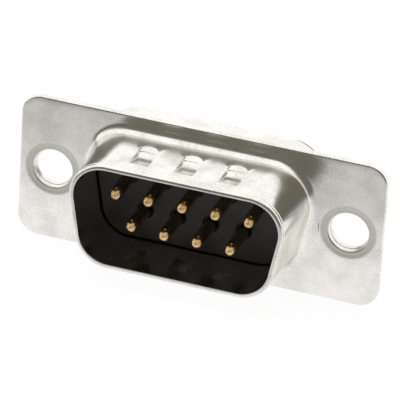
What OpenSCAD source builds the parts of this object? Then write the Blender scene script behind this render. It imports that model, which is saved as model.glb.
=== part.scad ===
// Nine-way D-shaped connector plug for panel mounting.
// Two drawn steel shells are riveted together at their screw holes. Between them they
// clamp a two-part insulator, which holds nine contacts: a pin in front, a solder cup behind.
// Frame: X to the right, Z up, mating side towards -Y. The origin is the centre of the
// flange's front face. Millimetres.

/* [Flange] */
// Distance from a hole's centre to the flange's end
flange_end = 2.855; // [2.6:0.005:3.1]
// Height of the flange
flange_h = 12.55; // [12.4:0.05:13.4]
// Radius of the flange's corners
flange_r = 1.7; // [1:0.1:2.6]
// Rounding of the flange's front edge
flange_edge_r = 0.15; // [0.05:0.05:0.25]
// How far the rear flange stays inside the front one at its edges
flange_step = 0.1; // [0:0.05:0.2]
// Thickness of the sheet of both shells
sheet_t = 0.4; // [0.3:0.05:0.5]

/* [Screw holes] */
// Distance between the centres of the two holes
hole_spacing = 24.99; // [24.9:0.01:25.1]
// Diameter of the holes
hole_d = 3.1; // [2.9:0.05:3.3]
// Wall of the eyelet tube drawn round each hole
eyelet_wall = 0.3; // [0.2:0.05:0.35]
// Width of the ring dished round each hole
dish_w = 0.45; // [0.2:0.05:0.5]
// Depth of the dished ring
dish_deep = 0.08; // [0.02:0.01:0.15]
// Width of the ring that is rolled over behind the rear flange
roll_w = 0.7; // [0.5:0.05:0.8]

/* [Plug skirt] */
// Inside width of the skirt across its wide side
plug_w = 17; // [16.8:0.05:17.2]
// Inside height of the skirt
plug_h = 8.3; // [8.2:0.05:8.5]
// Inside radius of the skirt's corners
plug_r = 2.55; // [2.4:0.05:2.9]
// Lean of the skirt's short sides
side_angle = 10; // [8:0.5:12]
// Distance from the flange's front face to the rim
plug_depth = 5.95; // [5.8:0.05:6.4]
// Radius of the bend at the skirt's foot
foot_r = 1; // [0.5:0.05:1.1]
// Outer rounding of the rim
rim_r = 0.25; // [0.1:0.05:0.28]

/* [Dimples] */
// Dimples on each long wall
dimple_count = 3; // [1:1:3]
// Distance between dimples
dimple_pitch = 3.7; // [3:0.1:4]
// Width of a dimple
dimple_w = 1.6; // [1:0.1:2]
// Length of a dimple
dimple_l = 2.8; // [2.2:0.1:2.9]
// Length of the ramp that leads down into a dimple
dimple_ramp_l = 0.95; // [0.6:0.05:1.2]
// Length of the slope that leads up out of it behind
dimple_rise_l = 0.6; // [0.3:0.05:0.8]
// Depth of a dimple
dimple_deep = 0.3; // [0.15:0.05:0.35]
// Distance from the rim to a dimple's front edge
dimple_from_rim = 1.45; // [1.3:0.05:1.8]

/* [Rear shell] */
// How far the rear skirt stands outside the plug skirt
skirt_offset = 0.8; // [0.7:0.05:0.9]
// Distance from the flange's front face to the back of the rear shell
rear_depth = 4; // [3.6:0.1:5]
// Radius of the bend at the rear skirt's foot
rear_foot_r = 0.3; // [0.2:0.05:0.4]
// Outer radius of the bend between skirt and lip
lip_bend_r = 0.6; // [0.55:0.05:0.9]
// Width of the lip's face with its bend
lip_w = 1; // [0.95:0.05:1.3]

/* [Insulator] */
// How far the insulator's face stands in front of the flange
face_out = 0.75; // [0.2:0.05:1]
// Clearance between insulator and shells
shell_gap = 0.04; // [0.02:0.01:0.12]
// Rounding of the face's edge
face_edge_r = 0.15; // [0.05:0.05:0.2]
// Distance from the flange's front face to the joint of the two insulators
split_depth = 2; // [1.8:0.1:2.6]
// Distance from the flange's front face to the insulator's back
back_depth = 5.4; // [5.2:0.1:6.5]
// Outer diameter of the collars round the solder cups
collar_d = 2.3; // [2.1:0.05:2.5]
// Height of the collars
collar_h = 0.5; // [0.3:0.1:1]

/* [Contacts] */
// Distance between contacts in a row
pitch = 2.77; // [2.7:0.01:2.8]
// Distance between the two rows
row_gap = 2.84; // [2.8:0.01:2.9]
// Diameter of a pin
pin_d = 1.02; // [0.9:0.01:1.1]
// Distance from the rim back to the pins' tips
tip_recess = 1.12; // [0.8:0.01:1.5]
// Diameter of a contact's shank inside the front insulator
shank_d = 1.35; // [1.3:0.01:1.45]
// Distance from the insulator's face back to the shanks
shank_recess = 0.1; // [0.05:0.05:0.2]
// Diameter of the shoulder that is clamped between the insulators
shoulder_d = 1.8; // [1.75:0.05:2]
// Thickness of the shoulder
shoulder_t = 0.6; // [0.4:0.1:1]
// Outer diameter of a solder cup
cup_d = 1.6; // [1.45:0.05:1.7]
// Inside diameter of a solder cup
cup_bore_d = 1.1; // [1:0.05:1.2]
// Length of a solder cup behind its collar
cup_l = 3.2; // [2.9:0.1:3.6]
// Depth of the cup's bore
cup_bore_l = 2.8; // [2.6:0.1:3.1]
// Length of the cup's open side, up to its slanted end
cup_open_l = 1.8; // [1.3:0.1:1.9]
// Height of the cup's open edges over its axis
cup_edge_h = 0.2; // [0:0.05:0.3]
// Radial clearance of the contacts in the insulators
contact_gap = 0.03; // [0.01:0.01:0.05]

/* [Hidden] */
$fn = 64;
row_count = 5; // contacts in the upper row; the lower row has one less
corner_steps = 12; // facets round one corner of the D shape
over = 0.2; // run of a cut past the face that it opens
seat_gap = 0.02; // clearance of an edge that seats on a bend

// Centres of the corner arcs, anticlockwise from the lower left one, seen on the mating face.
top_x = plug_w / 2 - plug_r;
top_y = plug_h / 2 - plug_r;
low_x = top_x - 2 * top_y * tan(side_angle);
d_frame = [[-low_x, -top_y], [low_x, -top_y], [top_x, top_y], [-top_x, top_y]];

// Offsets from the corner centres to the walls that follow the D shape.
skirt_out = plug_r + sheet_t;
foot_out = skirt_out + foot_r;
rear_out = skirt_out + skirt_offset;
rear_in = rear_out - sheet_t;
rear_foot_out = rear_out + rear_foot_r;
lip_in = rear_out - lip_w;
face_off = plug_r - shell_gap;
step_off = rear_in - shell_gap;
block_off = lip_in - shell_gap;
// Height of the front shell's back over its foot bend, at the edge of the insulator's step.
step_z = foot_r - sqrt(pow(foot_r + sheet_t, 2) - pow(foot_out - step_off, 2)) - seat_gap;

flange_w = hole_spacing + 2 * flange_end;
hole_r = hole_d / 2;
tube_r = hole_r + eyelet_wall;
dish_r = tube_r + dish_w;
collar_end = back_depth + collar_h;
cup_end = collar_end + cup_l;

// Draws its children, which look along +Z at the viewer, with the mating side towards -Y.
module facing_front() {
    rotate([90, 0, 0]) children();
}

function arc(centre, r, from, to, steps) =
    [for (i = [0 : steps]) let (a = from + (to - from) * i / steps) centre + r * [cos(a), sin(a)]];

function side_angle_at(i) =
    let (a = d_frame[i], b = d_frame[(i + 1) % 4]) atan2(b[1] - a[1], b[0] - a[0]) - 90;

// The corner centres and outward directions met on one turn round the D shape.
rays = [for (i = [0 : 3])
    let (start = side_angle_at((i + 3) % 4), turn = (side_angle_at(i) - start + 360) % 360)
    for (step = [0 : corner_steps])
        let (a = start + turn * step / corner_steps) [d_frame[i], [cos(a), sin(a)]]];

// Solid D shape at a constant offset, from z = low to z = high.
module d_plate(off, low, high) {
    translate([0, 0, low]) linear_extrude(high - low) polygon([for (ray = rays) ray[0] + off * ray[1]]);
}

// Wall that follows the D shape. The profile is a closed loop of [offset, height] points.
module d_wall(profile) {
    m = len(profile);
    n = len(rays);
    polyhedron(
        points = [for (ray = rays, p = profile) [each (ray[0] + p[0] * ray[1]), p[1]]],
        faces = [for (i = [0 : n - 1], k = [0 : m - 1]) let (j = (i + 1) % n, l = (k + 1) % m)
            [i * m + k, i * m + l, j * m + l, j * m + k]]);
}

// Rectangle with round corners from z = low to z = high, its edge at z = high rounded by edge_r.
module flange_plate(w, h, r, low, high, edge_r) {
    x = w / 2 - r;
    y = h / 2 - r;
    translate([-x, -y, low]) cube([2 * x, 2 * y, high - low]);
    for (turn = [0 : 3]) {
        half = turn % 2 == 0 ? [x, y] : [y, x];
        rotate(90 * turn) translate([half[0], half[1], low]) {
            rotate_extrude(angle = 90) edge_profile(r, high - low, edge_r);
            rotate([90, 0, 0]) linear_extrude(2 * half[1]) edge_profile(r, high - low, edge_r);
        }
    }
}

module edge_profile(r, t, edge_r) {
    square([r, t - edge_r]);
    translate([0, t - edge_r]) square([r - edge_r, edge_r]);
    quarter([r - edge_r, t - edge_r], edge_r, 0);
}

// Quarter of a disc about centre, from the angle start.
module quarter(centre, r, start) {
    translate(centre) intersection() {
        circle(r);
        rotate(start) square(r);
    }
}

module at_holes() {
    for (side = [-1, 1]) translate([side * hole_spacing / 2, 0, 0]) children();
}

// Places of the contacts: the upper row first, from left to right.
function contact_place(i) =
    i <= row_count ? [(i - (row_count + 1) / 2) * pitch, row_gap / 2]
                   : [(i - row_count - row_count / 2) * pitch, -row_gap / 2];

module at_contacts() {
    for (i = [1 : 2 * row_count - 1]) translate(contact_place(i)) children();
}

// ---- front shell

skirt_profile = concat(
    [[foot_out + over, 0]],
    arc([foot_out, foot_r], foot_r, 270, 180, 6),
    arc([skirt_out - rim_r, plug_depth - rim_r], rim_r, 0, 90, 4),
    [[plug_r, plug_depth]],
    arc([foot_out, foot_r], foot_r + sheet_t, 180, 270, 6),
    [[foot_out + over, -sheet_t]]);

// Half section of an eyelet: dished ring, bend, tube, and the roll behind the rear flange.
module eyelet_profile() {
    polygon([[dish_r, 0], [tube_r, -dish_deep], [tube_r, -sheet_t], [dish_r, -sheet_t]]);
    quarter([tube_r, -dish_deep - eyelet_wall], eyelet_wall, 90);
    translate([hole_r, -2 * sheet_t - eyelet_wall]) square([eyelet_wall, 2 * sheet_t - dish_deep]);
    translate([tube_r, -2 * sheet_t - eyelet_wall]) square([roll_w - 1.5 * eyelet_wall, eyelet_wall]);
    translate([hole_r + roll_w - eyelet_wall / 2, -2 * sheet_t - eyelet_wall / 2]) circle(eyelet_wall / 2);
}

// The punch's nose, lying along X, that sinks dimple_deep below y = 0: a ramp from the front edge at
// z = 0, a flat, and a slope up to the back edge.
module punch() {
    rotate([90, 0, 90]) linear_extrude(dimple_w, center = true)
        polygon([[over, 0], [0, 0], [-dimple_deep, -dimple_ramp_l],
            [-dimple_deep, dimple_rise_l - dimple_l], [0, -dimple_l], [over, -dimple_l]]);
}

module at_dimples(wall_y) {
    for (side = [0, 1], i = [0 : dimple_count - 1])
        mirror([0, side, 0])
            translate([(i - (dimple_count - 1) / 2) * dimple_pitch, wall_y,
                plug_depth - dimple_from_rim]) children();
}

module front_shell() color("silver") facing_front() difference() {
    union() {
        difference() {
            flange_plate(flange_w, flange_h, flange_r, -sheet_t, 0, flange_edge_r);
            d_plate(foot_out, -sheet_t - over, over);
            at_holes() cylinder(h = 3 * sheet_t, r = dish_r, center = true);
        }
        d_wall(skirt_profile);
        at_holes() rotate_extrude() eyelet_profile();
        at_dimples(plug_h / 2) punch();
    }
    at_dimples(plug_h / 2 + sheet_t) punch();
}

// ---- rear shell

rear_profile = concat(
    [[rear_foot_out + over, -2 * sheet_t]],
    [[rear_foot_out + over, -sheet_t]],
    arc([rear_foot_out, -2 * sheet_t - rear_foot_r], rear_foot_r + sheet_t, 90, 180, 5),
    arc([rear_out - lip_bend_r, lip_bend_r - rear_depth], lip_bend_r - sheet_t, 0, -90, 4),
    [[lip_in, sheet_t - rear_depth]],
    [[lip_in, -rear_depth]],
    arc([rear_out - lip_bend_r, lip_bend_r - rear_depth], lip_bend_r, -90, 0, 6),
    arc([rear_foot_out, -2 * sheet_t - rear_foot_r], rear_foot_r, 180, 90, 4));

module rear_shell() color("lightgray") facing_front() {
    difference() {
        mirror([0, 0, 1]) flange_plate(flange_w - 2 * flange_step, flange_h - 2 * flange_step,
            flange_r - flange_step, sheet_t, 2 * sheet_t, flange_edge_r);
        d_plate(rear_foot_out, -3 * sheet_t, 0);
        at_holes() cylinder(h = 6 * sheet_t, r = tube_r + contact_gap, center = true);
    }
    d_wall(rear_profile);
}

// ---- insulators

// The corner that is cut away to round the edge of the insulator's face.
face_edge_cut = concat(
    arc([face_off - face_edge_r, face_out - face_edge_r], face_edge_r, 0, 90, 3),
    [[face_off - face_edge_r, face_out + over]],
    [[face_off + over, face_out + over]],
    [[face_off + over, face_out - face_edge_r]]);

module front_insulator() color([0.12, 0.12, 0.13]) facing_front() difference() {
    union() {
        d_plate(face_off, -split_depth, face_out);
        d_plate(step_off, -split_depth, step_z);
    }
    d_wall(face_edge_cut);
    at_contacts() {
        translate([0, 0, -split_depth - over])
            cylinder(h = split_depth + face_out + 2 * over, r = shank_d / 2 + contact_gap);
        translate([0, 0, -split_depth - over])
            cylinder(h = shoulder_t + over, r = shoulder_d / 2 + contact_gap);
    }
}

module rear_insulator() color([0.12, 0.12, 0.13]) facing_front() difference() {
    lip_front = rear_depth - sheet_t;
    corner = lip_bend_r - sheet_t + shell_gap;
    union() {
        d_plate(step_off, corner - lip_front, -split_depth);
        d_plate(step_off - corner, -lip_front, -split_depth);
        d_plate(block_off, -back_depth, -split_depth);
        at_contacts() translate([0, 0, -collar_end]) cylinder(h = collar_h + over, d = collar_d);
    }
    at_contacts() translate([0, 0, -collar_end - over])
        cylinder(h = collar_end - split_depth + 2 * over, r = cup_d / 2 + contact_gap);
}

// ---- contacts

// The upper side that is cut away from a cup, with a slanted end.
module cup_opening() {
    back = -cup_end - over;
    front = cup_open_l - cup_end;
    rotate([90, 0, 90]) linear_extrude(2 * cup_d, center = true)
        polygon([[cup_edge_h, back], [cup_d, back], [cup_d, front + cup_d - cup_edge_h],
            [cup_edge_h, front]]);
}

// One contact. Its cup opens upwards in the upper row and downwards in the lower one.
module contact(i) {
    tip = plug_depth - tip_recess - pin_d / 2;
    shank_end = face_out - shank_recess;
    place = contact_place(i);
    color("gold") facing_front() translate([place[0], place[1], 0]) difference() {
        union() {
            translate([0, 0, tip]) sphere(d = pin_d);
            translate([0, 0, -split_depth]) cylinder(h = split_depth + tip, d = pin_d);
            translate([0, 0, -split_depth]) cylinder(h = shank_end + split_depth, d = shank_d);
            translate([0, 0, -split_depth]) cylinder(h = shoulder_t, d = shoulder_d);
            translate([0, 0, -cup_end]) cylinder(h = cup_end - split_depth, d = cup_d);
        }
        translate([0, 0, -cup_end - over]) cylinder(h = cup_bore_l + over, d = cup_bore_d);
        rotate([0, 0, place[1] > 0 ? 0 : 180]) cup_opening();
    }
}

front_shell();
rear_shell();
front_insulator();
rear_insulator();
contact(1);  // contact_1
contact(2);  // contact_2
contact(3);  // contact_3
contact(4);  // contact_4
contact(5);  // contact_5
contact(6);  // contact_6
contact(7);  // contact_7
contact(8);  // contact_8
contact(9);  // contact_9
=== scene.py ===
import math

import bmesh
import bpy
import numpy as np
from mathutils import Matrix, Vector


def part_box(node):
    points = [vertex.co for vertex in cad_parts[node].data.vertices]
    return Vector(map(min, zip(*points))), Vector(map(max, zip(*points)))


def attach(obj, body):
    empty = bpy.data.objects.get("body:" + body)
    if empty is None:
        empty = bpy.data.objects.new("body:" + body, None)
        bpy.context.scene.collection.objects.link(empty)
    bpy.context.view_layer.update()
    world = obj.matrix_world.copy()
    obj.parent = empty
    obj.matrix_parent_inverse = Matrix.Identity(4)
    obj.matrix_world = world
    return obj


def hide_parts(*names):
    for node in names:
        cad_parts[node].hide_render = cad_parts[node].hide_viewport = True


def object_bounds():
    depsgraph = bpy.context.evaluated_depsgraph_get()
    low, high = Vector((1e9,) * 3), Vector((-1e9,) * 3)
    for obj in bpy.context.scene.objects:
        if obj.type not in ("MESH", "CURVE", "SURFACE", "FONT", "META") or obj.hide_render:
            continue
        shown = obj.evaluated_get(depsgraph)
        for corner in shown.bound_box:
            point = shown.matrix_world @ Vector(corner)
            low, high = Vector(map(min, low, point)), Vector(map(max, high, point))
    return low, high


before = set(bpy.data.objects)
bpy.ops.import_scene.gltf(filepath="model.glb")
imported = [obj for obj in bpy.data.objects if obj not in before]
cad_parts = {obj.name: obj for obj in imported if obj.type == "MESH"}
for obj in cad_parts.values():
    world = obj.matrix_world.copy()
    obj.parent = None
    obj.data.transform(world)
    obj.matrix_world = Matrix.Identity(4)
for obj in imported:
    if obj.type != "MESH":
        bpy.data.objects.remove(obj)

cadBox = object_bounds()
mm = 0.001
print("frame loaded:", len(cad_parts), "nodes")


def toWorld(plan, height):
    # a plan point (x, y) on the mating face at a height towards the mating side -> (x, -height, y)
    height = np.broadcast_to(height, plan.shape[:-1])
    return np.stack([plan[..., 0], -height, plan[..., 1]], axis=-1)


def offsetLoop(corners, fractions, cornerSteps):
    # closed outline round convex corner centres, anticlockwise: at corner i the outward direction turns from
    # side i-1's normal to side i's, and along side i it stays; a point at offset o is centre + o * direction
    count = len(corners)
    corners = np.asarray(corners, float)
    sides = np.roll(corners, -1, axis=0) - corners
    normals = np.arctan2(sides[:, 1], sides[:, 0]) - math.pi / 2
    centres, angles, middles, length = [], [], [], 0
    for i in range(count):
        turn = (normals[i] - normals[i - 1]) % (2 * math.pi)
        bend = normals[i - 1] + turn * np.linspace(0, 1, cornerSteps + 1)
        along = np.asarray(fractions[i], float)
        centres.append(np.repeat(corners[i:i + 1], cornerSteps + 1, axis=0))
        centres.append(corners[i] + along[:, None] * sides[i])
        angles += [bend, np.full(len(along), normals[i])]
        middles.append(length + cornerSteps // 2)
        length += cornerSteps + 1 + len(along)
    angles = np.concatenate(angles)
    return np.concatenate(centres), np.stack([np.cos(angles), np.sin(angles)], axis=1), middles


def gridFaces(rows, cols, wrap):
    # quads between neighbouring rows of a grid whose points are numbered row by row
    index = np.arange(rows * cols).reshape(rows, cols)
    right = np.roll(index, -1, axis=1) if wrap else index[:, 1:]
    left = index if wrap else index[:, :-1]
    return np.stack([left[:-1], right[:-1], right[1:], left[1:]], axis=-1).reshape(-1, 4)


def arcPoints(centre, radius, start, end, steps):
    # points of an arc about centre, angles in degrees
    angle = np.radians(np.linspace(start, end, steps + 1))
    return np.stack([centre[0] + radius * np.cos(angle), centre[1] + radius * np.sin(angle)], axis=1)


def meshPiece(name, patches, sharpAngle=35, weld=1e-3):
    # joins grid patches (points in millimetres) at their shared borders and counts the open edges
    mesh = bpy.data.meshes.new(name)
    points = np.concatenate([p for p, f in patches]) * mm
    starts = np.cumsum([0] + [len(p) for p, f in patches[:-1]])
    faces = np.concatenate([f + s for (p, f), s in zip(patches, starts)])
    mesh.from_pydata(points.tolist(), [], faces.tolist())
    shape = bmesh.new()
    shape.from_mesh(mesh)
    bmesh.ops.remove_doubles(shape, verts=shape.verts, dist=weld * mm)
    bmesh.ops.dissolve_degenerate(shape, dist=weld * mm / 10, edges=shape.edges)
    bmesh.ops.recalc_face_normals(shape, faces=shape.faces)
    shape.to_mesh(mesh)
    openEdges = sum(1 for e in shape.edges if len(e.link_faces) != 2)
    shape.free()
    mesh.shade_smooth()
    mesh.set_sharp_from_angle(angle=math.radians(sharpAngle))
    piece = bpy.data.objects.new(name, mesh)
    bpy.context.scene.collection.objects.link(piece)
    print(name, "faces:", len(mesh.polygons), "open edges:", openEdges)
    return piece


plugShape = {
    "insideWidth": 17.0,
    "insideHeight": 8.3,
    "insideRadius": 2.55,
    "sideAngle": 10.0,
    "cornerSteps": 24,
    "sideSteps": 14,
}
dimple = {
    "places": (-3.7, 0.0, 3.7),
    "width": 1.56,
    "deep": 0.3,
    "fromRim": 1.45,
    "wallWidth": 0.13,
    "frontSlope": 0.364,
    "baseLine": 2.5,
    "backLine": 2.95,
    "stepDeep": 0.05,
    "baseBow": 0.2,
    "backBow": 0.53,
    "spread": 0.07,
}
frontSheet = {
    "sheet": 0.4,
    "cornerRadius": 1.7,
    "edgeRadius": 0.15,
    "footRadius": 1.0,
    "easeStart": 4.2,
    "easeEnd": 0.7,
    "easeRate": 0.04,
    "rimRadius": 0.25,
    "rimInnerRadius": 0.06,
    "grooveFromRim": 0.46,
    "grooveDeep": 0.035,
    "grooveWidth": 0.1,
    "rimStep": 0.012,
    "backEdge": 0.03,
    "splitX": 10.05,
}
eyelet = {
    "spacing": 24.99,
    "holeRadius": 1.55,
    "wall": 0.3,
    "mouthRadius": 1.8,
    "dishDeep": 0.05,
    "lipRadius": 0.12,
    "rollRadius": 0.3,
    "rollWidth": 0.7,
    "flatRadius": 2.5,
    "dishRadius": 2.32,
}
rearSheet = {
    "sheet": 0.4,
    "edgeStep": 0.1,
    "skirtOffset": 0.8,
    "footRadius": 0.3,
    "lipBendRadius": 0.6,
    "lipWidth": 1.0,
    "clearance": 0.03,
}

shellLow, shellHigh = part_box("front_shell")
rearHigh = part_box("rear_shell")[1]
flangeWidth = (shellHigh[0] - shellLow[0]) / mm
flangeHeight = (shellHigh[2] - shellLow[2]) / mm
plugDepth = -shellLow[1] / mm
rearDepth = rearHigh[1] / mm


def plugCorners():
    topX = plugShape["insideWidth"] / 2 - plugShape["insideRadius"]
    topY = plugShape["insideHeight"] / 2 - plugShape["insideRadius"]
    lowX = topX - 2 * topY * math.tan(math.radians(plugShape["sideAngle"]))
    return [(-lowX, -topY), (lowX, -topY), (topX, topY), (-topX, topY)]


def dimpleStops():
    # x places of the columns across one long wall, close together at the dimples' edges
    half = dimple["width"] / 2
    local = np.concatenate([np.linspace(0, half - 0.2, 9),
                            half + np.array([-0.165, -0.13, -0.1, -0.065, -0.03, 0, 0.03, 0.1, 0.2, 0.35])])
    local = np.unique(np.round(np.concatenate([-local, local]), 4))
    return np.concatenate([p + local for p in dimple["places"]])


def wallStops(halfLength):
    plain = np.linspace(-halfLength, halfLength, 41)[1:-1]
    close = dimpleStops()
    plain = plain[np.min(np.abs(plain[:, None] - close), axis=1) > 0.2]
    return np.sort(np.concatenate([plain, close]))


def plugLoop():
    corners = plugCorners()
    lowX, topX = corners[1][0], corners[2][0]
    bottom = (wallStops(lowX) + lowX) / (2 * lowX)
    top = (topX - wallStops(topX)[::-1]) / (2 * topX)
    side = np.linspace(0, 1, plugShape["sideSteps"] + 1)[1:-1]
    return offsetLoop(corners, [bottom, side, top, side], plugShape["cornerSteps"])


def dimpleDepth(x, height, softer=0.0):
    # min of three: side walls, a floor that is a parabola from the front edge, and a small step with a slope
    # up behind it
    fromFront = plugDepth - dimple["fromRim"] - height
    half, deep = dimple["width"] / 2, dimple["deep"]
    slope, base = dimple["frontSlope"], dimple["baseLine"]
    ramp = np.maximum(slope * fromFront - slope ** 2 / (4 * deep) * fromFront ** 2, 0) * (fromFront > 0)
    floorEnd = slope * base - slope ** 2 / (4 * deep) * base ** 2
    rise = np.interp(fromFront, [base - 0.04, base, dimple["backLine"]],
                     [deep, floorEnd - dimple["stepDeep"], 0])
    depth = np.zeros(np.broadcast(x, height).shape)
    for place in dimple["places"]:
        inward = half + softer - np.abs(x - place)
        wall = deep * np.clip(inward / (dimple["wallWidth"] + 1.5 * softer), 0, 1)
        depth = np.maximum(depth, np.minimum(np.minimum(wall, ramp), rise))
    return depth


def dimpleWarp(x, height):
    # moves grid points so that rows follow a dimple's bowed back edge and columns spread towards it:
    # shift = bow * (distance from the middle / half width)^2, fading out round the dimple
    fromFront = plugDepth - dimple["fromRim"] - height
    half, base, back = dimple["width"] / 2, dimple["baseLine"], dimple["backLine"]
    moveX, moveH = np.zeros(x.shape), np.zeros(x.shape)
    for place in dimple["places"]:
        across = (x - place) / half
        near = np.clip(1 - (np.abs(across) - 1) / 0.45, 0, 1)
        near = near * near * (3 - 2 * near)
        bow = np.interp(fromFront, [2.0, base, back, 3.4], [0, dimple["baseBow"], dimple["backBow"], 0])
        moveH = moveH + bow * np.minimum(across ** 2, 1) * near
        spread = np.interp(fromFront, [0, base, back, 3.4], [0, 1, 1, 0]) * dimple["spread"]
        moveX = moveX + spread * np.clip(across, -1, 1) * near
    return moveX, moveH


def plugProfile():
    # (offset, height, weight) from the flange up the outer wall, over the rim and down inside; weight 1 takes
    # the dimples' outer form, 2 their inner form and 0 none
    r, t = frontSheet["footRadius"], frontSheet["sheet"]
    inner = plugShape["insideRadius"]
    outer = inner + t
    rim, rimIn = frontSheet["rimRadius"], frontSheet["rimInnerRadius"]
    groove = plugDepth - frontSheet["grooveFromRim"]
    front = plugDepth - dimple["fromRim"]
    behind = np.array([3.42, 3.34, 3.2, 3.08, 3.0, 2.95, 2.86, 2.76, 2.66, 2.57, 2.5, 2.46, 2.38, 2.26,
                       2.1, 1.9, 1.65, 1.4, 1.15, 0.95, 0.86, 0.74, 0.62, 0.5, 0.38, 0.26, 0.16, 0.08,
                       0.03, 0])
    stops = np.concatenate([
        front - behind,
        np.linspace(front + 0.04, groove - 0.12, 7),
        groove + np.linspace(-0.1, 0.1, 9),
        [groove + 0.15],
    ])
    dent = frontSheet["grooveDeep"] * np.exp(-((stops - groove) / (frontSheet["grooveWidth"] * 0.4)) ** 2)
    dent = dent + frontSheet["rimStep"] * np.clip((stops - groove) / 0.1, 0, 1)
    # the outer wall leans out a little towards the flange: added offset = rate / 2 * (start - height)^2
    start, end, rate = frontSheet["easeStart"], frontSheet["easeEnd"], frontSheet["easeRate"]
    ease = np.concatenate([np.linspace(end, stops[0], 4)[:-1], stops])
    dent = np.concatenate([np.zeros(3), dent])
    lean = rate / 2 * np.maximum(start - ease, 0) ** 2
    wall = np.stack([outer + lean - dent, ease], axis=1)
    tilt = math.atan(rate * (start - end))
    bend = end / (1 - math.sin(tilt))
    footCentre = (outer + lean[0] + bend * math.cos(tilt), bend)
    foot = arcPoints(footCentre, bend, 270, 180 + math.degrees(tilt), 16)[:-1]
    rimOut = arcPoints((outer - frontSheet["rimStep"] - rim, plugDepth - rim), rim, 0, 90, 9)
    rimInside = arcPoints((inner + rimIn, plugDepth - rimIn), rimIn, 90, 180, 4)
    inside = np.stack([np.full(len(stops), inner), stops], axis=1)[::-1]
    back = arcPoints((outer + r, r), r + t, 180, 270, 12)
    flat = np.concatenate([foot, wall, rimOut, rimInside, inside, back])
    weight = np.concatenate([np.zeros(len(foot)), np.ones(len(wall)), np.zeros(len(rimOut) + len(rimInside)),
                             np.full(len(inside), 2.0), np.zeros(len(back))])
    return flat[:, 0], flat[:, 1], weight


def sweepLoop(loop, offsets, heights, weights=None):
    # profile carried round the D: point = centre + (offset - dimple depth) * direction
    centres, directions, _ = loop
    off = np.repeat(offsets[:, None], len(centres), axis=1)
    high = heights[:, None] + 0 * off
    plan = centres[None] + off[..., None] * directions[None]
    if weights is not None:
        x = centres[None, :, 0] + 0 * off
        straight = (np.abs(directions[None, :, 0]) < 1e-6) & (weights[:, None] > 0)
        dent = np.where(weights[:, None] == 1, dimpleDepth(x, high), dimpleDepth(x, high, 0.06) * 0.95)
        moveX, moveH = dimpleWarp(x, high)
        plan = plan - np.where(straight, dent, 0)[..., None] * directions[None]
        plan[..., 0] += np.where(straight, moveX, 0)
        high = high + np.where(straight, moveH, 0)
    points = toWorld(plan, high)
    return points.reshape(-1, 3), gridFaces(len(offsets), len(centres), True)


def sheetWithHoles(loop, footOffset, halfWidth, halfHeight, radius, edge, level, flatRadius,
                   holeProfile, splitX):
    # one flat side of a flange at a height: a middle field between the D and a rectangle, and two end
    # fields between a round hole and the outline; every field is (1 - s) * inner edge + s * outer edge
    centres, directions, middles = loop
    foot = centres + footOffset * directions
    flatH = halfHeight - edge
    box = np.array([(-splitX, -flatH), (splitX, -flatH), (splitX, flatH), (-splitX, flatH)])
    outer = np.zeros_like(foot)
    count = len(foot)
    spans = []
    for g in range(4):
        span = np.arange(middles[g], (middles[(g + 1) % 4] if g < 3 else middles[0] + count) + 1) % count
        step = np.linalg.norm(np.diff(foot[span], axis=0), axis=1)
        share = np.concatenate([[0], np.cumsum(step)]) / step.sum()
        outer[span] = box[g] + share[:, None] * (box[(g + 1) % 4] - box[g])
        spans.append(span)
    s = np.linspace(0, 1, 7)[:, None, None]
    middle = (1 - s) * foot[None] + s * outer[None]
    patches = [(toWorld(middle, level).reshape(-1, 3), gridFaces(7, count, True))]

    endX = halfWidth - radius
    corner = [(-endX, -(halfHeight - radius)), (endX, -(halfHeight - radius)),
              (endX, halfHeight - radius), (-endX, halfHeight - radius)]
    ends = np.linspace(splitX, endX, 13)[1:-1]
    bottomX = np.concatenate([-ends[::-1], outer[spans[0], 0], ends])
    topX = np.concatenate([ends[::-1], outer[spans[2], 0], -ends])
    side = np.linspace(0, 1, 33)[1:-1]
    rim = offsetLoop(corner, [(bottomX + endX) / (2 * endX), side, (endX - topX) / (2 * endX), side], 16)
    border = rim[0] + (radius - edge) * rim[1]

    def nearest(x, y):
        return int(np.argmin(np.hypot(border[:, 0] - x, border[:, 1] - y)))

    total = len(border)
    for sign in (1, -1):
        first = nearest(sign * splitX, -sign * flatH)
        last = nearest(sign * splitX, sign * flatH)
        run = np.arange(first, last + 1 if last > first else last + total + 1) % total
        line = outer[spans[1] if sign == 1 else spans[3]][::-1][1:-1]
        ring = np.concatenate([border[run], line])
        hole = np.array([sign * eyelet["spacing"] / 2, 0])
        aim = ring - hole
        aim = aim / np.linalg.norm(aim, axis=1)[:, None]
        s = np.linspace(0, 1, 9)[:, None, None]
        field = (1 - s) * (hole + flatRadius * aim)[None] + s * ring[None]
        patches.append((toWorld(field, level).reshape(-1, 3), gridFaces(9, len(ring), True)))
        if holeProfile is not None:
            plan = hole + holeProfile[:, 0][:, None, None] * aim[None]
            turned = toWorld(plan, holeProfile[:, 1][:, None])
            patches.append((turned.reshape(-1, 3), gridFaces(len(holeProfile), len(ring), True)))
    return patches, rim


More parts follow.
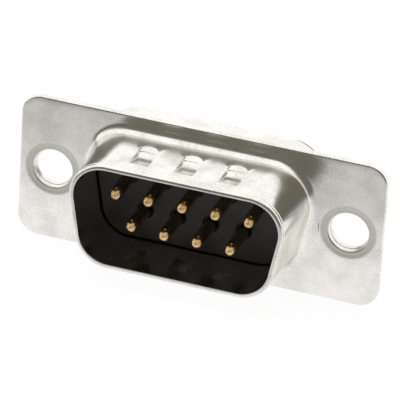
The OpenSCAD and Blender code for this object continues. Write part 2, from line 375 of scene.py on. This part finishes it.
def eyeletProfile():
    # half section (radius, height) from the flat face down the dish, through the tube, over the roll and back
    hole, wall, mouth = eyelet["holeRadius"], eyelet["wall"], eyelet["mouthRadius"]
    tube = hole + wall
    t = frontSheet["sheet"]
    u = np.linspace(0, 1, 11)
    dish = np.stack([eyelet["dishRadius"] + (mouth - eyelet["dishRadius"]) * u,
                     -eyelet["dishDeep"] * (1 - (1 - u) ** 2 * (1 + 2 * u) * (1 - u * 0.4))], axis=1)
    lipRadius = eyelet["lipRadius"]
    lip = arcPoints((mouth, -eyelet["dishDeep"] - lipRadius), lipRadius, 90, 170, 6)[1:]
    neck = np.array([(hole + 0.09, -0.34), (hole + 0.07, -0.46), (hole + 0.035, -0.475), (hole + 0.035, -0.5),
                     (hole + 0.05, -0.53), (hole + 0.02, -0.7), (hole + 0.01, -0.76)])
    end = -2 * t - wall
    lipEnd = hole + eyelet["rollWidth"]
    bend = eyelet["rollRadius"]
    roll = np.concatenate([
        arcPoints((hole + 0.01 + bend, end + bend), bend, 190, 270, 8),
        arcPoints((lipEnd - wall / 2, end + wall / 2), wall / 2, 270, 450, 8),
    ])
    back = np.array([(tube, -2 * t), (tube, -t), (eyelet["flatRadius"], -t)])
    return np.concatenate([[(eyelet["flatRadius"], 0)], dish, lip, neck, roll, back])


def edgePatch(rim, radius, points):
    # the flange's outer edge: a profile of (distance inwards, height) carried round its outline
    plan = rim[0][None] + (radius - points[:, 0])[:, None, None] * rim[1][None]
    return toWorld(plan, points[:, 1][:, None]).reshape(-1, 3), gridFaces(len(points), len(rim[0]), True)


plugRing = plugLoop()


def buildFrontShell():
    t, edge = frontSheet["sheet"], frontSheet["edgeRadius"]
    offsets, heights, weights = plugProfile()
    patches = [sweepLoop(plugRing, offsets, heights, weights)]
    size = (flangeWidth / 2, flangeHeight / 2, frontSheet["cornerRadius"])
    face, rim = sheetWithHoles(plugRing, offsets[0], *size, edge, 0.0, eyelet["flatRadius"],
                               eyeletProfile(), frontSheet["splitX"])
    backEdge = frontSheet["backEdge"]
    back = sheetWithHoles(plugRing, offsets[-1], *size, edge, -t, eyelet["flatRadius"],
                          None, frontSheet["splitX"])[0]
    rounding = edge - arcPoints((0, 0), edge, 90, 0, 6)
    rounding = np.stack([rounding[:, 0], -rounding[:, 1]], axis=1)
    side = np.array([(0, -t + backEdge), (backEdge, -t), (edge, -t)])
    patches += face + back + [edgePatch(rim, size[2], np.concatenate([rounding, side]))]
    return meshPiece("front_shell_sheet", patches)


def buildRearShell():
    t = rearSheet["sheet"]
    outer = plugShape["insideRadius"] + frontSheet["sheet"] + rearSheet["skirtOffset"]
    foot, bend = rearSheet["footRadius"], rearSheet["lipBendRadius"]
    lip = outer - rearSheet["lipWidth"]
    profile = np.concatenate([
        arcPoints((outer + foot, -2 * t - foot), foot, 90, 180, 6),
        np.stack([np.full(8, outer), np.linspace(-2 * t - foot, bend - rearDepth, 10)[1:-1]], axis=1),
        arcPoints((outer - bend, bend - rearDepth), bend, 0, -90, 10),
        [(lip + 0.06, -rearDepth)],
        arcPoints((lip + 0.05, 0.05 - rearDepth), 0.05, -90, -180, 3),
        [(lip, t - rearDepth)],
        arcPoints((outer - bend, bend - rearDepth), bend - t, -90, 0, 5),
        arcPoints((outer + foot, -2 * t - foot), foot + t, 180, 90, 8),
    ])
    patches = [sweepLoop(plugRing, profile[:, 0], profile[:, 1])]
    step, edge = rearSheet["edgeStep"], frontSheet["edgeRadius"]
    size = (flangeWidth / 2 - step, flangeHeight / 2 - step, frontSheet["cornerRadius"] - step)
    hole = eyelet["holeRadius"] + eyelet["wall"] + rearSheet["clearance"]
    tube = np.array([(eyelet["flatRadius"], -2 * t), (hole, -2 * t), (hole, -t), (eyelet["flatRadius"], -t)])
    back, rim = sheetWithHoles(plugRing, profile[0, 0], *size, edge, -2 * t, eyelet["flatRadius"], tube,
                               frontSheet["splitX"])
    face = sheetWithHoles(plugRing, profile[-1, 0], *size, edge, -t, eyelet["flatRadius"], None,
                          frontSheet["splitX"])[0]
    rounding = edge - arcPoints((0, 0), edge, 0, 90, 6)
    rounding = np.stack([rounding[:, 0], -2 * t + rounding[:, 1]], axis=1)
    backEdge = frontSheet["backEdge"]
    side = np.array([(edge, -t), (backEdge, -t), (0, -t - backEdge)])
    patches += back + face + [edgePatch(rim, size[2], np.concatenate([side, rounding]))]
    return meshPiece("rear_shell_sheet", patches)


contact = {
    "pinRadius": 0.51,
    "tipLength": 0.66,
    "shankRadius": 0.675,
    "shoulderRadius": 0.9,
    "shoulderThick": 0.6,
    "splitDepth": 2.0,
    "shankTop": 0.65,
    "cupRadius": 0.8,
    "boreRadius": 0.55,
    "boreDeep": 2.8,
    "openLength": 1.8,
    "openEdge": 0.2,
    "seamEnd": 2.42,
}
# short grooves on the tip, seen from the front: ends (x, z) over the pin's radius, depth, half width
tipGrooves = (
    ((0.0, 0.0), (0.5, 0.62), 0.05, 0.036),
    ((0.0, 0.0), (-0.46, 0.6), 0.05, 0.036),
    ((-0.42, -0.1), (0.44, 0.16), 0.045, 0.03),
    ((0.02, 0.5), (0.0, 0.92), 0.13, 0.06),
    ((0.16, -0.72), (0.1, -0.5), 0.03, 0.03),
)
tipMove = {1: (0.07, 0.02), 2: (0.03, 0.0), 3: (0.09, 0.07), 4: (0.07, 0.08), 5: (0.09, 0.06),
           6: (0.13, 0.34), 7: (0.12, 0.14), 8: (0.09, 0.15), 9: (0.1, 0.125)}
seamTurn = {1: 4, 2: -8, 3: -14, 4: -6, 5: -10, 6: 6, 7: 2, 8: -4, 9: -2}


def buildContact(number):
    low, high = [np.array(c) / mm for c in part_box(f"contact_{number}")]
    centre = np.array([(low[0] + high[0]) / 2, (low[2] + high[2]) / 2])
    tip, end = -low[1], -high[1]
    r = contact["pinRadius"]
    length = contact["tipLength"]
    dome = arcPoints((0, 0), 1, 90, 0, 30) * (r, length) + (0, tip - length)
    dome[0, 0] = 1e-4
    depth, cup, seamEnd = contact["splitDepth"], contact["cupRadius"], contact["seamEnd"]
    shaft = np.concatenate([
        np.linspace(tip - length, seamEnd + 0.12, 16)[1:],
        seamEnd + np.linspace(0.09, -0.09, 7),
        np.linspace(seamEnd - 0.12, contact["shankTop"] + 0.04, 6),
    ])
    outer = np.concatenate([
        dome,
        np.stack([np.full(len(shaft), r), shaft], axis=1),
        [(r + 0.03, contact["shankTop"]), (contact["shankRadius"] - 0.05, contact["shankTop"]),
         (contact["shankRadius"], contact["shankTop"] - 0.05),
         (contact["shankRadius"], contact["shoulderThick"] - depth),
         (contact["shoulderRadius"], contact["shoulderThick"] - depth), (contact["shoulderRadius"], -depth),
         (cup, -depth)],
    ])
    angle = np.linspace(0, 2 * math.pi, 113)[:-1]
    radius = outer[:, 0][:, None] + 0 * angle
    height = outer[:, 1][:, None] + 0 * angle
    turn = math.radians(seamTurn[number])
    seen = angle - turn
    onTip = np.clip((height - (tip - length)) / length, 0, 1)
    at = np.stack([radius * np.cos(seen), radius * np.sin(seen)], axis=-1) / r
    dent = np.zeros(radius.shape)
    for first, last, deep, half in tipGrooves:
        first, line = np.array(first), np.array(last) - np.array(first)
        share = np.clip((at - first) @ line / (line @ line), 0, 1)
        away = np.linalg.norm(at - first - share[..., None] * line, axis=-1) * r
        dent = np.maximum(dent, deep * np.exp(-(away / half) ** 2))
    dent = dent * (onTip > 0)
    # the seam of the rolled sheet runs along the top of the pin to two small raised corners
    across = r * (seen - math.pi / 2)
    seam = np.clip((height - seamEnd) / 0.03, 0, 1) * (1 - onTip) * (height > contact["shankTop"] + 0.02)
    dent = np.maximum(dent, 0.03 * np.exp(-(across / 0.03) ** 2) * seam)
    for sideways in (-0.085, 0.085):
        dent = dent - 0.028 * np.exp(-((across - sideways) ** 2 + (height - seamEnd) ** 2) / 0.05 ** 2)
    slopeR, slopeH = radius / r ** 2, (height - (tip - length)).clip(0) / length ** 2
    size = np.hypot(slopeR, slopeH)
    radius = np.maximum(radius - dent * slopeR / size, 1e-4)
    height = height - dent * slopeH / size
    bend = np.clip((height - contact["shankTop"] - 0.1) / (tip - contact["shankTop"]), 0, 1)[..., None]
    section = np.stack([radius * np.cos(angle), radius * np.sin(angle)], axis=-1)
    plan = centre + section + bend * tipMove[number]
    patches = [(toWorld(plan, height).reshape(-1, 3), gridFaces(len(outer), len(angle), True))]

    # the cup: each section is an outer and an inner arc that leave the opening free; half opening
    # angle = acos(opening height / radius)
    side = 1 if centre[1] > 0 else -1
    bore, openEdge = contact["boreRadius"], contact["openEdge"]
    slope = -end - contact["openLength"]
    levels = np.concatenate([[depth], [-end - contact["boreDeep"]], slope - np.linspace(0.62, 0, 14),
                             np.linspace(slope, -end, 12)[1:-1], [-end - 0.04, -end]])
    lift = openEdge + np.maximum(slope - levels, 0)
    rounding = np.where(levels >= -end - 1e-6, 0.04, 0)
    w = np.linspace(0, 1, 49)
    rings = []
    for radiusHere, inset in ((cup, 1), (bore, -1)):
        ringRadius = radiusHere - inset * rounding
        opening = np.arccos(np.clip(lift / ringRadius, -1, 1))
        turn = math.pi / 2 + opening[:, None] + w[None] * (2 * math.pi - 2 * opening[:, None])
        across = ringRadius[:, None] * np.cos(turn)
        upward = side * ringRadius[:, None] * np.sin(turn)
        rings.append(np.stack([across, upward], axis=-1))
    section = np.concatenate([rings[0], rings[1][:, ::-1]], axis=1)
    points = toWorld(centre + section, -levels[:, None])
    patches.append((points[1:].reshape(-1, 3), gridFaces(len(levels) - 1, section.shape[1], True)))
    sleeve = points[:2, :len(w)]
    patches.append((sleeve.reshape(-1, 3), gridFaces(2, len(w), False)))
    floorRings = np.linspace(1, 0.001, 3)[:, None, None] * rings[1][1][None]
    boreFloor = toWorld(centre + floorRings, end + contact["boreDeep"])
    patches.append((boreFloor.reshape(-1, 3), gridFaces(3, len(w), False)))
    closing = np.stack([section[-1, :len(w)], section[-1, len(w):][::-1]])
    patches.append((toWorld(centre + closing, end).reshape(-1, 3), gridFaces(2, len(w), False)))
    return meshPiece(f"contact_{number}_formed", patches, sharpAngle=40, weld=3e-4)


def newMaterial(name):
    material = bpy.data.materials.new(name)
    material.use_nodes = True
    tree = material.node_tree
    shader = tree.nodes["Principled BSDF"]
    where = tree.nodes.new("ShaderNodeTexCoord").outputs["Object"]
    return material, tree, shader, where


def addNoise(tree, where, scale, detail=4.0, roughness=0.55, stretch=(1, 1, 1)):
    mapping = tree.nodes.new("ShaderNodeMapping")
    mapping.inputs["Scale"].default_value = stretch
    tree.links.new(where, mapping.inputs["Vector"])
    noise = tree.nodes.new("ShaderNodeTexNoise")
    noise.inputs["Scale"].default_value = scale
    noise.inputs["Detail"].default_value = detail
    noise.inputs["Roughness"].default_value = roughness
    tree.links.new(mapping.outputs["Vector"], noise.inputs["Vector"])
    return noise.outputs["Fac"]


def addRange(tree, value, low, high, toLow, toHigh, smooth=True):
    node = tree.nodes.new("ShaderNodeMapRange")
    node.interpolation_type = "SMOOTHSTEP" if smooth else "LINEAR"
    for key, number in (("From Min", low), ("From Max", high), ("To Min", toLow), ("To Max", toHigh)):
        node.inputs[key].default_value = number
    tree.links.new(value, node.inputs["Value"])
    return node.outputs["Result"]


def addMix(tree, factor, first, second):
    node = tree.nodes.new("ShaderNodeMix")
    node.data_type = "RGBA"
    for socket, colour in ((node.inputs["A"], first), (node.inputs["B"], second)):
        if isinstance(colour, tuple):
            socket.default_value = (*colour, 1)
        else:
            tree.links.new(colour, socket)
    tree.links.new(factor, node.inputs["Factor"])
    return node.outputs["Result"]


def addMath(tree, operation, first, second=None):
    node = tree.nodes.new("ShaderNodeMath")
    node.operation = operation
    for socket, value in zip(node.inputs, (first, second)):
        if value is None:
            continue
        if isinstance(value, (int, float)):
            socket.default_value = value
        else:
            tree.links.new(value, socket)
    return node.outputs[0]


def addBump(tree, shader, heights):
    # chains one bump node per (height, distance in metres, strength)
    normal = None
    for height, distance, strength in heights:
        node = tree.nodes.new("ShaderNodeBump")
        node.inputs["Distance"].default_value = distance
        node.inputs["Strength"].default_value = strength
        tree.links.new(height, node.inputs["Height"])
        if normal is not None:
            tree.links.new(normal, node.inputs["Normal"])
        normal = node.outputs["Normal"]
    tree.links.new(normal, shader.inputs["Normal"])


tin = {
    "bright": (0.94, 0.92, 0.875),
    "dull": (0.83, 0.81, 0.76),
    "mottle": (0.62, 0.605, 0.57),
    # ring: a painted darker reflection on the dish pressed round each hole
    "ring": (0.46, 0.445, 0.4),
    "ringPaintedReflectionShare": 0.75,
    "grain": 8200,
    "grainHeight": 2.6e-6,
    "waves": 900,
    "wavesHeight": 6e-6,
}


def tinPlate(name, rings):
    material, tree, shader, where = newMaterial(name)
    shader.inputs["Metallic"].default_value = 1.0
    split = tree.nodes.new("ShaderNodeSeparateXYZ")
    tree.links.new(where, split.inputs[0])
    x, y, z = split.outputs
    cloud = addNoise(tree, where, 420, 5, 0.6)
    grain = addNoise(tree, where, tin["grain"], 3, 0.6)
    waves = addNoise(tree, where, tin["waves"], 2, 0.5)
    base = addMix(tree, addRange(tree, cloud, 0.35, 0.7, 0, 1), tin["bright"], tin["dull"])
    # fine mottling of the plate, stronger where the clouds are dull
    speckle = addRange(tree, grain, 0.42, 0.68, 0, 1)
    mottle = addMath(tree, "MULTIPLY", speckle, addRange(tree, cloud, 0.35, 0.65, 0.25, 0.8))
    base = addMix(tree, mottle, base, tin["mottle"])
    rough = addRange(tree, cloud, 0.3, 0.75, 0.15, 0.24)
    if rings:
        # the dish pressed round each hole gets a painted darker reflection, by distance from each hole's axis
        away = addMath(tree, "SUBTRACT", addMath(tree, "ABSOLUTE", x), eyelet["spacing"] / 2 * mm)
        square = addMath(tree, "ADD", addMath(tree, "MULTIPLY", away, away), addMath(tree, "MULTIPLY", z, z))
        wander = addMath(tree, "MULTIPLY", addMath(tree, "SUBTRACT", cloud, 0.5), 0.35 * mm)
        away = addMath(tree, "ADD", addMath(tree, "SQRT", square), wander)
        ring = addRange(tree, away, 2.2 * mm, 2.42 * mm, 1, 0)
        ring = addMath(tree, "MULTIPLY", ring, addRange(tree, y, 0.1 * mm, 0.2 * mm, 1, 0))
        base = addMix(tree, addMath(tree, "MULTIPLY", ring, tin["ringPaintedReflectionShare"]), base, tin["ring"])
    tree.links.new(base, shader.inputs["Base Color"])
    tree.links.new(rough, shader.inputs["Roughness"])
    addBump(tree, shader, [(waves, tin["wavesHeight"], 1.0), (grain, tin["grainHeight"], 1.0)])
    return material


plastic = {
    "base": (0.03, 0.027, 0.024),
    "pale": (0.065, 0.06, 0.058),
    "grain": 7000,
}


def blackPlastic(name):
    material, tree, shader, where = newMaterial(name)
    cloud = addNoise(tree, where, 260, 4, 0.55)
    grain = addNoise(tree, where, plastic["grain"], 3, 0.6)
    base = addMix(tree, addRange(tree, cloud, 0.4, 0.7, 0, 1), plastic["base"], plastic["pale"])
    tree.links.new(base, shader.inputs["Base Color"])
    tree.links.new(addRange(tree, cloud, 0.3, 0.7, 0.42, 0.55), shader.inputs["Roughness"])
    addBump(tree, shader, [(grain, 4e-6, 1.0)])
    return material


gold = {
    "bright": (0.93, 0.70, 0.36),
    "deep": (0.80, 0.54, 0.22),
    # shaft: painted shade for the length of pin inside the shell
    "shaft": (0.42, 0.3, 0.2),
    # hole: painted shade for the plating inside the insulator's holes
    "hole": (0.032, 0.029, 0.028),
}


def goldPlate(name):
    material, tree, shader, where = newMaterial(name)
    shader.inputs["Metallic"].default_value = 1.0
    split = tree.nodes.new("ShaderNodeSeparateXYZ")
    tree.links.new(where, split.inputs[0])
    y = split.outputs[1]
    cloud = addNoise(tree, where, 1500, 4, 0.6)
    grain = addNoise(tree, where, 12000, 2, 0.5)
    base = addMix(tree, addRange(tree, cloud, 0.4, 0.7, 0, 1), gold["bright"], gold["deep"])
    # painted shade: the pin is painted dark from behind the tip to its foot, where it lies in the shade
    # inside the shell, and painted near black inside the holes
    shaft = addRange(tree, y, -4.3 * mm, -3.9 * mm, 0, 1)
    shaft = addMath(tree, "MULTIPLY", shaft, addRange(tree, y, 4 * mm, 5.6 * mm, 1, 0))
    base = addMix(tree, shaft, base, gold["shaft"])
    # painted shade: near black from the insulator's face back into the rear insulator
    inside = addRange(tree, y, -0.95 * mm, -0.75 * mm, 0, 1)
    inside = addMath(tree, "MULTIPLY", inside, addRange(tree, y, 3.5 * mm, 5.3 * mm, 1, 0))
    base = addMix(tree, inside, base, gold["hole"])
    tree.links.new(base, shader.inputs["Base Color"])
    tree.links.new(addRange(tree, cloud, 0.3, 0.7, 0.16, 0.28), shader.inputs["Roughness"])
    addBump(tree, shader, [(grain, 1.5e-6, 1.0)])
    return material


tinFront = tinPlate("tin_plate_front", True)
tinRear = tinPlate("tin_plate_rear", False)
insulatorBlack = blackPlastic("moulded_black")
contactGold = goldPlate("gold_plate")


def finishPiece(piece, material, slot, *nodes):
    piece.data.materials.append(material)
    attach(piece, "root")
    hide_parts(*nodes)


finishPiece(buildFrontShell(), tinFront, "shell", "front_shell")
finishPiece(buildRearShell(), tinRear, "shell", "rear_shell")
for number in range(1, 10):
    finishPiece(buildContact(number), contactGold, "contact", f"contact_{number}")
for node in ("front_insulator", "rear_insulator"):
    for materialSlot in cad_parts[node].material_slots:
        materialSlot.material = insulatorBlack
print("pieces built")


studio = {
    "floorSize": 3.0,
    "floorColour": (0.86, 0.86, 0.86),
    "nearMirror": 0.96,
    "midMirror": 0.6,
    "farMirror": 0.12,
    "glow": 1.04,
    "glowShare": 0.9,
}


def buildFloor():
    size = studio["floorSize"]
    level = cadBox[0][2] - 0.02 * mm
    mesh = bpy.data.meshes.new("floor")
    mesh.from_pydata([(-size, -size, level), (size, -size, level), (size, size, level), (-size, size, level)],
                     [], [(0, 1, 2, 3)])
    floor = bpy.data.objects.new("floor", mesh)
    bpy.context.scene.collection.objects.link(floor)
    material = bpy.data.materials.new("pale_floor")
    material.use_nodes = True
    tree = material.node_tree
    shader = tree.nodes["Principled BSDF"]
    shader.inputs["Base Color"].default_value = (*studio["floorColour"], 1)
    shader.inputs["Roughness"].default_value = 0.9
    glow = tree.nodes.new("ShaderNodeEmission")
    glow.inputs["Strength"].default_value = studio["glow"]
    path = tree.nodes.new("ShaderNodeLightPath")
    where = tree.nodes.new("ShaderNodeTexCoord").outputs["Object"]
    split = tree.nodes.new("ShaderNodeSeparateXYZ")
    tree.links.new(where, split.inputs[0])
    # metal mirrors a floor that is white at the object and greyer towards the front
    near = addRange(tree, split.outputs[1], -18 * mm, -3 * mm, studio["midMirror"], studio["nearMirror"])
    far = addRange(tree, split.outputs[1], -48 * mm, -20 * mm, studio["farMirror"], 1)
    mirrored = addMath(tree, "MULTIPLY", near, far)
    level = addMix(tree, path.outputs["Is Camera Ray"], mirrored, (1.0, 1.0, 1.0))
    tree.links.new(level, glow.inputs["Color"])
    mix = tree.nodes.new("ShaderNodeMixShader")
    seen = addMath(tree, "MAXIMUM", path.outputs["Is Camera Ray"], path.outputs["Is Glossy Ray"])
    share = addMath(tree, "MULTIPLY", seen, studio["glowShare"])
    tree.links.new(share, mix.inputs[0])
    tree.links.new(shader.outputs[0], mix.inputs[1])
    tree.links.new(glow.outputs[0], mix.inputs[2])
    tree.links.new(mix.outputs[0], tree.nodes["Material Output"].inputs["Surface"])
    mesh.materials.append(material)


world = {
    "level": 1.12,
    "dark": (0.165, 0.155, 0.125),
    "frontAim": 17.6,
}


def buildWorld():
    # a white surround with a dark screen round the camera, which bright metal mirrors
    sky = bpy.data.worlds.new("studio")
    bpy.context.scene.world = sky
    sky.use_nodes = True
    tree = sky.node_tree
    background = tree.nodes["Background"]
    where = tree.nodes.new("ShaderNodeTexCoord").outputs["Generated"]
    split = tree.nodes.new("ShaderNodeSeparateXYZ")
    tree.links.new(where, split.inputs[0])
    aim = math.radians(world["frontAim"])
    dot = tree.nodes.new("ShaderNodeVectorMath")
    dot.operation = "DOT_PRODUCT"
    dot.inputs[1].default_value = (math.sin(aim), -math.cos(aim), 0)
    tree.links.new(where, dot.inputs[0])
    frontness = addRange(tree, dot.outputs["Value"], 0.15, 0.6, 0, 1)
    below = addRange(tree, split.outputs["Z"], -0.16, -0.08, 0, 1)
    above = addRange(tree, split.outputs["Z"], 0.64, 0.84, 1, 0)
    mask = addMath(tree, "MULTIPLY", addMath(tree, "MULTIPLY", frontness, below), above)
    colour = addMix(tree, mask, (world["level"],) * 3, world["dark"])
    path = tree.nodes.new("ShaderNodeLightPath")
    shown = addMix(tree, path.outputs["Is Camera Ray"], colour, (1.0, 1.0, 1.0))
    tree.links.new(shown, background.inputs["Color"])


camera = {
    "yaw": 17.576,
    "pitch": 28.223,
    "roll": 3.704,
    "distance": 293.303,
    "target": (0.108, 0.0, 0.078),
    "lens": 331.58,
}


def buildCamera():
    yaw, pitch, roll = (math.radians(camera[k]) for k in ("yaw", "pitch", "roll"))
    back = Vector((math.sin(yaw) * math.cos(pitch), -math.cos(yaw) * math.cos(pitch), math.sin(pitch)))
    right = Vector((math.cos(yaw), math.sin(yaw), 0))
    up = back.cross(right)
    turnedRight = math.cos(roll) * right + math.sin(roll) * up
    turnedUp = math.cos(roll) * up - math.sin(roll) * right
    place = (Vector(camera["target"]) + back * camera["distance"]) * mm
    data = bpy.data.cameras.new("camera")
    data.lens = camera["lens"]
    data.sensor_width = 36
    data.clip_start = 0.01
    holder = bpy.data.objects.new("camera", data)
    turned = Matrix((turnedRight, turnedUp, back)).transposed().to_4x4()
    holder.matrix_world = Matrix.Translation(place) @ turned
    bpy.context.scene.collection.objects.link(holder)
    bpy.context.scene.camera = holder


buildFloor()
buildWorld()
buildCamera()
bpy.context.scene.view_settings.view_transform = "Standard"
print("stage built")
